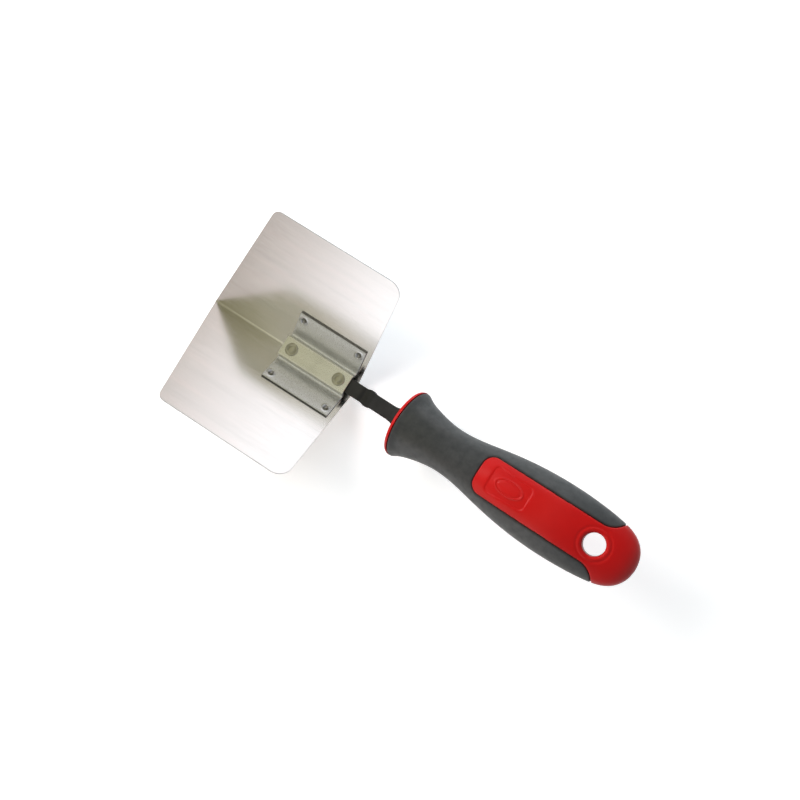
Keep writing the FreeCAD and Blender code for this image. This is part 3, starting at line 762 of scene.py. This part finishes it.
def make_grip():
    """The red core and the grey skin, cut from one grid over the grip's outer form."""
    rows, cols = GRIP_ROWS, GRIP_COLS
    t, a, d, rim_row = grip_grid()
    base = hull_point(t, a)
    normal = hull_normal(t, a)
    along = along_of(t)
    top_side = np.sin(a) > 0
    # The window's edge and the rim's edge both part red from grey.
    rim_d = along - RIM
    edge = np.minimum(d, rim_d)
    edge[rim_row] = np.minimum(edge[rim_row], 0)

    # Red core: flush where it shows, rolled off at its edge, sunk under the skin elsewhere.
    sunk = np.where(edge > 1e-9, SKIN + 0.05, rolled_edge(edge, 0.7, 1.0))
    raised = np.where(top_side & (d < -0.5), badge_height(base), 0.0)
    raised = raised - RIM_GROOVE_DEPTH * np.exp(-((along - RIM_GROOVE_AT) / RIM_GROOVE_WIDTH) ** 2)

    # Hanging hole: inside a shallow ring the surface rolls over a soft lip and runs down the bore.
    hx, hz, hs = centre_line(HOLE_AT)
    rel = base - np.array([hx, 0, hz])
    e1 = np.array([math.cos(hs), 0, math.sin(hs)])
    e3 = np.array([-math.sin(hs), 0, math.cos(hs)])
    u, v, h = rel @ e1, rel[..., 1], rel @ e3
    rho = np.hypot(u, v)
    raised = raised - RING_DEPTH * np.exp(-((rho - RING_R) / RING_WIDTH) ** 2)
    core = base - normal * (sunk - raised)[..., None]
    # The lip takes the outer part of the grid between LIP_R and least, the bore the inner part.
    least, lip_share = 3.0, 0.55
    near = (rho < LIP_R) & (np.abs(h) > 1.0)
    share = np.clip((LIP_R - rho) / (LIP_R - least), 0, 1)
    lip = np.clip(share / lip_share, 0, 1) * PI / 2
    bore = np.clip((share - lip_share) / (1 - lip_share), 0, 1)
    radius = LIP_R - (LIP_R - HOLE_R) * np.sin(lip)
    level = (np.abs(h) - LIP_HEIGHT * (1 - np.cos(lip))) * (1 - bore)
    safe = np.maximum(rho, 1e-6)
    moved = (np.array([hx, 0, hz]) + (u / safe * radius)[..., None] * e1
             + (np.sign(h) * level)[..., None] * e3)
    moved[..., 1] = v / safe * radius
    core = np.where(near[..., None], moved, core)

    flat = core.reshape(-1, 3)
    d_flat = edge.reshape(-1)
    quads = quads_of()
    through = (rho.reshape(-1) < least) & near.reshape(-1)
    keep = ~through[quads].all(1)
    faces = split_mixed(quads[keep], d_flat)
    # The front face, slightly dished, and the tail's small cap.
    verts = [flat]
    offset = len(flat)
    x0, z0, s0 = centre_line(0.0)
    middle = np.array([x0, 0, z0])
    direction = np.array([math.cos(s0), 0, math.sin(s0)])
    dish = 0.9
    previous = np.arange(cols)
    for scale, back in ((0.985, 0.0), (0.955, 0.06), (0.92, 0.22), (0.86, 0.5), (0.6, 0.8), (0.3, dish)):
        verts.append(middle + (base[0] - middle) * scale + direction * back)
        current = offset + np.arange(cols)
        for k in range(cols):
            after = (k + 1) % cols
            faces.append((current[k], previous[k], previous[after], current[after]))
        previous, offset = current, offset + cols
    verts.append((middle + direction * dish)[None])
    faces += [(offset, previous[k], previous[(k + 1) % cols]) for k in range(cols)]
    offset += 1
    tail = (rows - 1) * cols + np.arange(cols)
    verts.append(base[-1].mean(0)[None])
    faces += [(offset, tail[(k + 1) % cols], tail[k]) for k in range(cols)]
    add_mesh("handle_core_moulding", np.concatenate(verts), faces,
             "handle_core", [red], 60)

    # Grey skin: the rest of the surface, its edges rolled in, closed by an inner layer and walls.
    outer_layer = (base - normal * rolled_edge(-edge, 0.8, 1.15)[..., None]).reshape(-1, 3)
    inner_layer = (base - normal * SKIN).reshape(-1, 3)
    grey_faces = [f for f in split_mixed(quads, d_flat)
                  if min(d_flat[list(f)]) >= -1e-9 and max(d_flat[list(f)]) > 1e-9]
    used = np.unique(np.concatenate([np.array(f) for f in grey_faces]))
    index = -np.ones(len(outer_layer), int)
    index[used] = np.arange(len(used))
    n = len(used)
    faces = [tuple(index[list(f)]) for f in grey_faces]
    faces += [tuple(index[list(f)][::-1] + n) for f in grey_faces]
    edges = dict.fromkeys((p, q) for f in grey_faces for p, q in zip(f, f[1:] + f[:1]))
    for p, q in edges:
        if (q, p) not in edges:
            faces.append((index[q], index[p], index[p] + n, index[q] + n))
    add_mesh("grip_skin", np.concatenate([outer_layer[used], inner_layer[used]]), faces,
             "grip_overmold", [grey], 60)


# ------------------------------------------------------------------ build
make_blade()
make_bracket()
make_tang()
make_rivet("rivet_front_turned", "rivet_front", RIVET_X[0])
make_rivet("rivet_rear_turned", "rivet_rear", RIVET_X[1])
make_grip()


# ------------------------------------------------------------------ floor, light, camera
def mix_shaders(tree, fac, first, second):
    node = tree.nodes.new("ShaderNodeMixShader")
    tree.links.new(fac, node.inputs["Fac"])
    tree.links.new(first.outputs[0], node.inputs[1])
    tree.links.new(second.outputs[0], node.inputs[2])
    return node


def make_floor():
    """A plain pale floor, lifted a little for the camera and clear to a camera below it."""
    mesh = bpy.data.meshes.new("floor")
    corners = ((-1, -1), (1, -1), (1, 1), (-1, 1))
    mesh.from_pydata([(x * FLOOR_HALF, y * FLOOR_HALF, FLOOR_Z) for x, y in corners], [], [(0, 1, 2, 3)])
    material, tree, shader = new_material("floor")
    tone = noise(tree, object_coords(tree), 6.0)
    tree.links.new(ramp(tree, tone, [(0.3, (0.93, 0.93, 0.93)), (0.7, (0.95, 0.95, 0.95))]),
                   shader.inputs["Base Color"])
    shader.inputs["Roughness"].default_value = 0.9
    shader.inputs["Specular IOR Level"].default_value = 0.1
    shader.inputs["Emission Color"].default_value = (1.0, 1.0, 1.0, 1.0)
    to_camera = tree.nodes.new("ShaderNodeLightPath").outputs["Is Camera Ray"]
    tree.links.new(to_range(tree, to_camera, 0.0, FLOOR_GLOW, 0.0, 1.0), shader.inputs["Emission Strength"])
    clear = tree.nodes.new("ShaderNodeBsdfTransparent")
    behind = tree.nodes.new("ShaderNodeNewGeometry").outputs["Backfacing"]
    surface = mix_shaders(tree, maths(tree, "MULTIPLY", behind, to_camera), shader, clear)
    tree.links.new(surface.outputs[0], tree.nodes["Material Output"].inputs["Surface"])
    mesh.materials.append(material)
    floor = bpy.data.objects.new("floor", mesh)
    bpy.context.scene.collection.objects.link(floor)


def make_world():
    """Even light for dull surfaces, a graded room for mirrors, and a white backdrop for the camera."""
    world = bpy.data.worlds.new("studio")
    bpy.context.scene.world = world
    world.use_nodes = True
    tree = world.node_tree
    tree.nodes.clear()
    coords = tree.nodes.new("ShaderNodeTexCoord")
    split = tree.nodes.new("ShaderNodeSeparateXYZ")
    tree.links.new(coords.outputs["Generated"], split.inputs[0])

    def band(stops, lean):
        """The colour along X, leaning a little with Y so that the two sides differ."""
        along = maths(tree, "MULTIPLY_ADD", split.outputs["Y"], lean, split.outputs["X"])
        fac = to_range(tree, along, 0.0, 1.0, LEFT, LEFT + REACH)
        scaled = [((x - LEFT) / REACH, tuple(c / BRIGHTEST for c in colour)) for x, colour in stops]
        return ramp(tree, fac, scaled)

    height = tree.nodes.new("ShaderNodeMapRange")
    height.interpolation_type = "SMOOTHSTEP"
    height.inputs["From Min"].default_value = CEILING_FROM
    height.inputs["From Max"].default_value = CEILING_TO
    tree.links.new(split.outputs["Z"], height.inputs["Value"])
    room = tree.nodes.new("ShaderNodeMix")
    room.data_type = "RGBA"
    tree.links.new(height.outputs["Result"], room.inputs["Factor"])
    tree.links.new(band(WALLS, WALL_LEAN), room.inputs["A"])
    tree.links.new(band(CEILING, CEILING_LEAN), room.inputs["B"])

    def background(strength):
        node = tree.nodes.new("ShaderNodeBackground")
        node.inputs["Color"].default_value = (1.0, 1.0, 1.0, 1.0)
        node.inputs["Strength"].default_value = strength
        return node

    mirrored = background(BRIGHTEST)
    tree.links.new(room.outputs["Result"], mirrored.inputs["Color"])
    path = tree.nodes.new("ShaderNodeLightPath").outputs
    lit = mix_shaders(tree, path["Is Glossy Ray"], background(SKY_STRENGTH), mirrored)
    seen = mix_shaders(tree, path["Is Camera Ray"], lit, background(BACKDROP_STRENGTH))
    output = tree.nodes.new("ShaderNodeOutputWorld")
    tree.links.new(seen.outputs[0], output.inputs["Surface"])


def softbox(name, place, width, height, power, colour):
    """A rectangle of soft light, not seen in mirrors."""
    light = bpy.data.lights.new(name, "AREA")
    light.shape = "RECTANGLE"
    light.size, light.size_y = width, height
    light.energy = power
    light.color = colour
    obj = bpy.data.objects.new(name, light)
    obj.location = place
    obj.rotation_mode = "QUATERNION"
    obj.rotation_quaternion = (Vector(SOFTBOX_AIM) - Vector(place)).to_track_quat("-Z", "Y")
    obj.visible_glossy = False
    bpy.context.scene.collection.objects.link(obj)


def make_camera():
    """Looks down into the vee from a little behind it, with the tool lying corner to corner."""
    look = Vector((-math.sin(CAMERA_TILT), 0, -math.cos(CAMERA_TILT)))
    along = Vector((math.cos(CAMERA_TILT), 0, -math.sin(CAMERA_TILT)))
    across = Vector((0, 1, 0))
    right = math.cos(CAMERA_TURN) * along + math.sin(CAMERA_TURN) * across
    up = -math.sin(CAMERA_TURN) * along + math.cos(CAMERA_TURN) * across
    place = Vector(CAMERA_AIM) - look * CAMERA_DISTANCE
    data = bpy.data.cameras.new("camera")
    data.sensor_width = SENSOR_MM
    data.lens = FOCAL_SHARE * SENSOR_MM
    data.clip_start = 0.01
    cam = bpy.data.objects.new("camera", data)
    rotation = Matrix((right, up, -look)).transposed()
    cam.matrix_world = Matrix.Translation(place) @ rotation.to_4x4()
    bpy.context.scene.collection.objects.link(cam)
    bpy.context.scene.camera = cam


make_floor()
make_world()
for box in SOFTBOXES:
    softbox(*box)
make_camera()
scene = bpy.context.scene
scene.view_settings.view_transform = "Standard"
scene.view_settings.look = "None"
